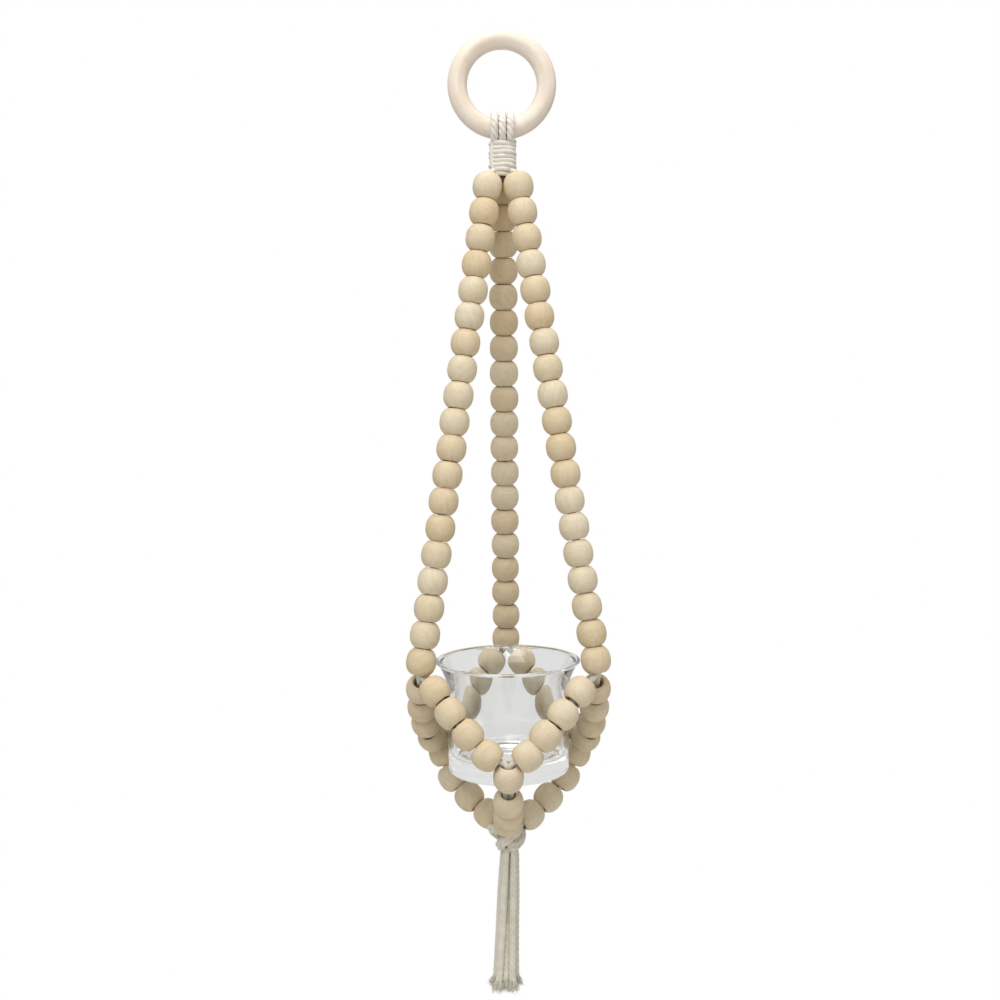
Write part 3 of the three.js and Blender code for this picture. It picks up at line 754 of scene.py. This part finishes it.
def makeKnot():
    centre = placeOf("gather_knot") + [0, 0, knot["lift"]]
    t = np.linspace(0, 2 * np.pi, 601)
    lines, core = [], []
    for k in range(6):
        bundle = knot["bundle"] if k < 5 else 0
        phase = k * 2 * np.pi / 5 + t
        z = knot["rise"] * np.sin(3 * t + knot["start"]) + bundle * np.sin(phase)
        reach = knot["reach"] + knot["swell"] * np.cos(3 * t + knot["start"]) + bundle * np.cos(phase)
        reach = reach * (1 + knot["funnel"] * z)
        around = 2 * t + knot["turn"]
        line = np.stack([reach * np.cos(around), reach * np.sin(around), z], 1) + centre
        lines.append(evened(line, 0.6, True))
        bearing = k * 2 * math.pi / 5
        aside = (0 if k == 5 else knot["coreReach"]) * np.array([math.cos(bearing), math.sin(bearing), 0])
        heights = (knot["coreTop"], 0, knot["coreFoot"])
        core.append(smoothLine([centre + aside + [0, 0, at] for at in heights], 0.6))
    form = {"start": list(range(6)), "dip": [knot["dip"]] * 6}
    upright, sideways = np.array([0.02, 0.03, 1.0]), np.array([1.0, 0, 0])
    pieces = (("overhand_knot", lines, upright, True), ("knot_core", core, sideways, False))
    for name, parts, across, closed in pieces:
        piece = ropePiece(name, parts, knot["cordRadius"], [across] * 6, closed, **form)
        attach(piece, "hanger")
        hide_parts("gather_knot")


makeKnot()
print("cords made")


# Pot: a lathe in glass, wall and floor thick, the wall opening out to a rounded lip
pot = {
    "height": 77.0, "rim": 49.5, "base": 41.5, "wall": 4.4, "lip": 3.0, "floor": 11.5, "corner": 3.0,
    "inner": 5.0, "flare": 22.0, "hollow": 1.6, "dish": 0.25, "sides": 160, "tilt": 2.6, "raise": 0.3,
}


# Points (radius, height) of an arc: the middle plus its size times the cosine and sine.
def arcPoints(centreR, centreZ, size, start, end, steps):
    a = np.radians(np.linspace(start, end, steps))
    return np.stack([centreR + size * np.cos(a), centreZ + size * np.sin(a)], 1)


# The profile goes from the middle of the underside, out and up to the lip, and down and in to the
# middle of the floor. Over the flare the radius grows with the square of the share of its height.
def potProfile():
    share = np.linspace(0, 0.94, 22)
    outer = pot["base"] + (pot["rim"] - pot["base"]) * share**2
    height = pot["height"] - pot["flare"] + pot["flare"] * share
    wall = pot["wall"] + (pot["lip"] - pot["wall"]) * share
    outside = np.stack([outer, height], 1)
    inside = np.stack([outer - wall, height], 1)[::-1]
    lipRadius = pot["lip"] / 2
    innerRadius = pot["base"] - pot["wall"]
    # the underside is hollowed a little and the inside floor dishes, as pressed glass does
    under = np.linspace(0, pot["base"] - pot["corner"] - 2, 14)
    underside = np.stack([under, pot["hollow"] * np.cos(under / under[-1] * np.pi / 2) ** 0.7], 1)
    inner = np.linspace(innerRadius - pot["inner"], 0, 14)[1:]
    floor = np.stack([inner, pot["floor"] + pot["dish"] * (inner / innerRadius) ** 2], 1)
    straightTop = pot["height"] - pot["flare"] - 4
    outerWall = np.linspace(pot["corner"] + 4, straightTop, 9)
    innerWall = np.linspace(straightTop, pot["floor"] + pot["inner"] + 3, 9)
    return np.concatenate([
        underside,
        arcPoints(pot["base"] - pot["corner"], pot["corner"], pot["corner"], -90, 0, 12),
        np.stack([np.full(9, pot["base"]), outerWall], 1),
        outside,
        arcPoints(pot["rim"] - lipRadius, pot["height"] - lipRadius, lipRadius, 0, 180, 14),
        inside,
        np.stack([np.full(9, innerRadius), innerWall], 1),
        arcPoints(innerRadius - pot["inner"], pot["floor"] + pot["inner"], pot["inner"], 0, -90, 12),
        floor,
    ])


# The profile turned round the axis, closed with a fan at both middles, then leant a little to the
# front about the pot's middle, as it sits in its cradle.
def makePot():
    base = float(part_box("glass_pot")[0][2]) / mm
    profile = potProfile()
    angle = np.arange(pot["sides"]) / pot["sides"] * 2 * np.pi
    radius, height = profile[1:-1, 0, None], profile[1:-1, 1, None]
    turned = np.stack([radius * np.cos(angle), radius * np.sin(angle), height + base + 0 * angle], -1)
    middles = [[0, 0, profile[0, 1] + base], [0, 0, profile[-1, 1] + base]]
    points = np.concatenate([turned.reshape(-1, 3), middles])
    quads = gridQuads(len(radius), pot["sides"], False, True)
    c = np.arange(pot["sides"])
    c2 = (c + 1) % pot["sides"]
    count = radius.size * pot["sides"]
    last = count - pot["sides"]
    fans = np.stack([c2, c, np.full(len(c), count)], 1).tolist()
    fans += np.stack([last + c, last + c2, np.full(len(c), count + 1)], 1).tolist()
    tilt, middle = math.radians(pot["tilt"]), base + pot["height"] / 2
    y, z = points[:, 1].copy(), points[:, 2] - middle
    points[:, 1] = y * math.cos(tilt) - z * math.sin(tilt)
    points[:, 2] = y * math.sin(tilt) + z * math.cos(tilt) + middle + pot["raise"]
    piece = meshOf("glass_vessel", points, quads.tolist() + fans, clearGlass)
    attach(piece, "pot")
    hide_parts("glass_pot")


makePot()
print("pot made")


# Studio: a pale floor far below, and soft light from above and in front. The room is white to look
# at, and gives a dimmer, even light of its own, so that undersides keep their shade.
studio = {
    "floor": -0.80, "far": 30.0, "paint": "#e4e4e2", "room": 0.38, "throughGlass": 0.75, "aim": (0, 0, -0.3),
}
bounces = {"max_bounces": 32, "transmission_bounces": 32, "glossy_bounces": 24}
# Square lamps: place and size in metres, power in watts
lamps = {
    "key": {"place": (-0.45, -1.05, 0.95), "size": 1.2, "power": 15.5},
    "fill": {"place": (1.5, -1.3, -0.1), "size": 1.5, "power": 3.2},
    "crown": {"place": (0.15, -0.25, 1.25), "size": 1.0, "power": 10.5},
}


# The floor is plain white to the eye, dimmer where it is seen through glass, and matt paint to light.
def makeFloor():
    material, tree = newMaterial("matt white floor")
    path = addNode(tree, "ShaderNodeLightPath")
    paint = addNode(tree, "ShaderNodeBsdfDiffuse", Color=linear(studio["paint"]))
    glow = addNode(tree, "ShaderNodeEmission", Color=(1, 1, 1, 1), Strength=1.0)
    through = addNode(tree, "ShaderNodeEmission", Color=(1, 1, 1, 1), Strength=studio["throughGlass"])
    inGlass, byEye = (path, "Is Singular Ray"), (path, "Is Camera Ray")
    seen = addNode(tree, "ShaderNodeMixShader", Fac=inGlass, i1=(paint, "BSDF"), i2=(through, "Emission"))
    mixed = addNode(tree, "ShaderNodeMixShader", Fac=byEye, i1=(seen, 0), i2=(glow, "Emission"))
    addNode(tree, "ShaderNodeOutputMaterial", Surface=(mixed, "Shader"))
    far, height = studio["far"], studio["floor"]
    corners = [(-far, -far, height), (far, -far, height), (far, far, height), (-far, far, height)]
    mesh = bpy.data.meshes.new("floor")
    mesh.from_pydata(corners, [], [(0, 1, 2, 3)])
    mesh.materials.append(material)
    floor = bpy.data.objects.new("floor", mesh)
    bpy.context.collection.objects.link(floor)


# Each lamp looks from its place to the aim.
def makeLamps():
    for name, form in lamps.items():
        lamp = bpy.data.lights.new(name, "AREA")
        lamp.shape, lamp.size, lamp.energy = "SQUARE", form["size"], form["power"]
        light = bpy.data.objects.new(name, lamp)
        bpy.context.collection.objects.link(light)
        light.location = form["place"]
        aim = Vector(studio["aim"]) - Vector(form["place"])
        light.rotation_euler = aim.to_track_quat("-Z", "Y").to_euler()


# White to the eye, a shade down where it is seen through glass, and dimmer again as light.
def makeRoom():
    world = bpy.data.worlds.new("white room")
    world.use_nodes = True
    tree = world.node_tree
    tree.nodes.clear()
    path = addNode(tree, "ShaderNodeLightPath")
    room, through = studio["room"], studio["throughGlass"]
    light = addNode(tree, "ShaderNodeMapRange", i0=(path, "Is Singular Ray"), i3=room, i4=through)
    strength = addNode(tree, "ShaderNodeMapRange", i0=(path, "Is Camera Ray"), i3=(light, 0), i4=1.0)
    glow = addNode(tree, "ShaderNodeBackground", Color=(1, 1, 1, 1), Strength=(strength, 0))
    addNode(tree, "ShaderNodeOutputWorld", Surface=(glow, "Background"))
    bpy.context.scene.world = world
    bpy.context.scene.view_settings.view_transform = "Standard"
    # light needs many bounces to find its way out of the thick glass, or its edges go black
    for name, count in bounces.items():
        setattr(bpy.context.scene.cycles, name, count)


makeFloor()
makeLamps()
makeRoom()
print("studio made")
